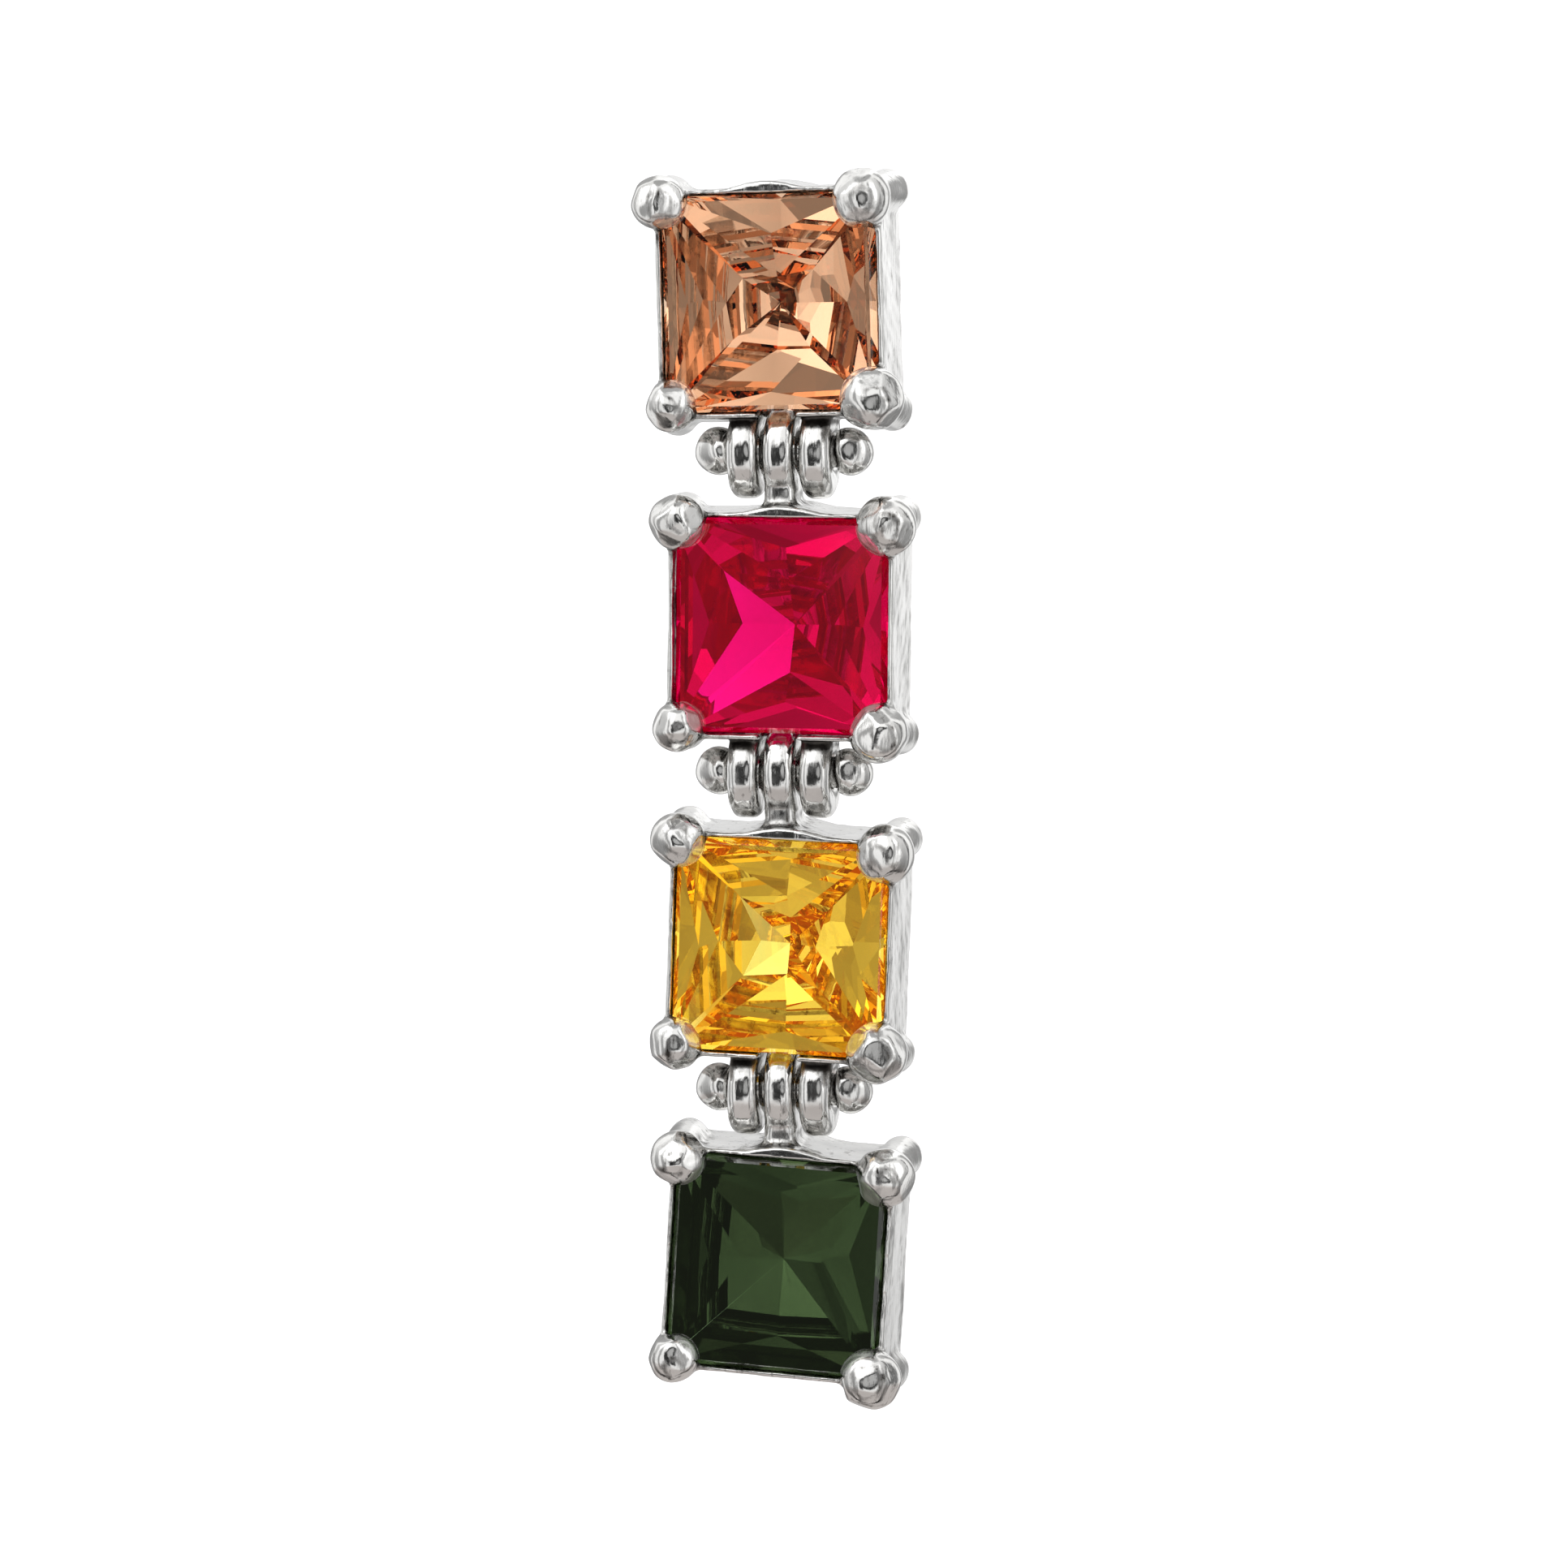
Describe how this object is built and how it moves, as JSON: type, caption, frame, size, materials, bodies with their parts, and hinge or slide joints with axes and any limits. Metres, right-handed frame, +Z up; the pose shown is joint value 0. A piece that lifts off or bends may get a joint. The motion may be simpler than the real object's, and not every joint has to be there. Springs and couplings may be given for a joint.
{
  "type": "stud drop earring",
  "caption": "Hinged stud drop earring: square faceted stones in ball-pronged silver box settings, hanging in a column from a straight ear post.",
  "frame": {"origin": "root of the ear post, on the back face of the top setting, where it meets the ear lobe", "axes": "+Z up along the hanging column, +Y backwards along the ear post; the stones face -Y and +X is to the right of a viewer who looks at them"},
  "size_m": [0.0079, 0.0148, 0.0347],
  "materials": {
    "silver": "polished cast silver, darkened in the recesses",
    "champagne_gem": "clear polished facets, champagne orange",
    "ruby_gem": "clear polished facets, ruby red",
    "golden_gem": "clear polished facets, golden yellow",
    "green_gem": "clear polished facets, dark olive green"
  },
  "bodies": {
    "top_link": {"top_setting_with_ear_post": "silver", "champagne_stone": "champagne_gem", "hinge_pin_1": "silver"},
    "second_link": {"second_setting": "silver", "ruby_stone": "ruby_gem", "hinge_pin_2": "silver"},
    "third_link": {"third_setting": "silver", "golden_stone": "golden_gem", "hinge_pin_3": "silver"},
    "bottom_link": {"bottom_setting": "silver", "green_stone": "green_gem"}
  },
  "joints": [
    {"name": "first_hinge", "type": "hinge", "parent": "top_link", "child": "second_link", "pos_m": [0, -0.00145, -0.00605], "axis": [1, 0, 0], "range_deg": [-45, 60]},
    {"name": "second_hinge", "type": "hinge", "parent": "second_link", "child": "third_link", "pos_m": [0, -0.00145, -0.01505], "axis": [1, 0, 0], "range_deg": [-45, 60]},
    {"name": "third_hinge", "type": "hinge", "parent": "third_link", "child": "bottom_link", "pos_m": [0, -0.00145, -0.02405], "axis": [1, 0, 0], "range_deg": [-45, 60]}
  ]
}
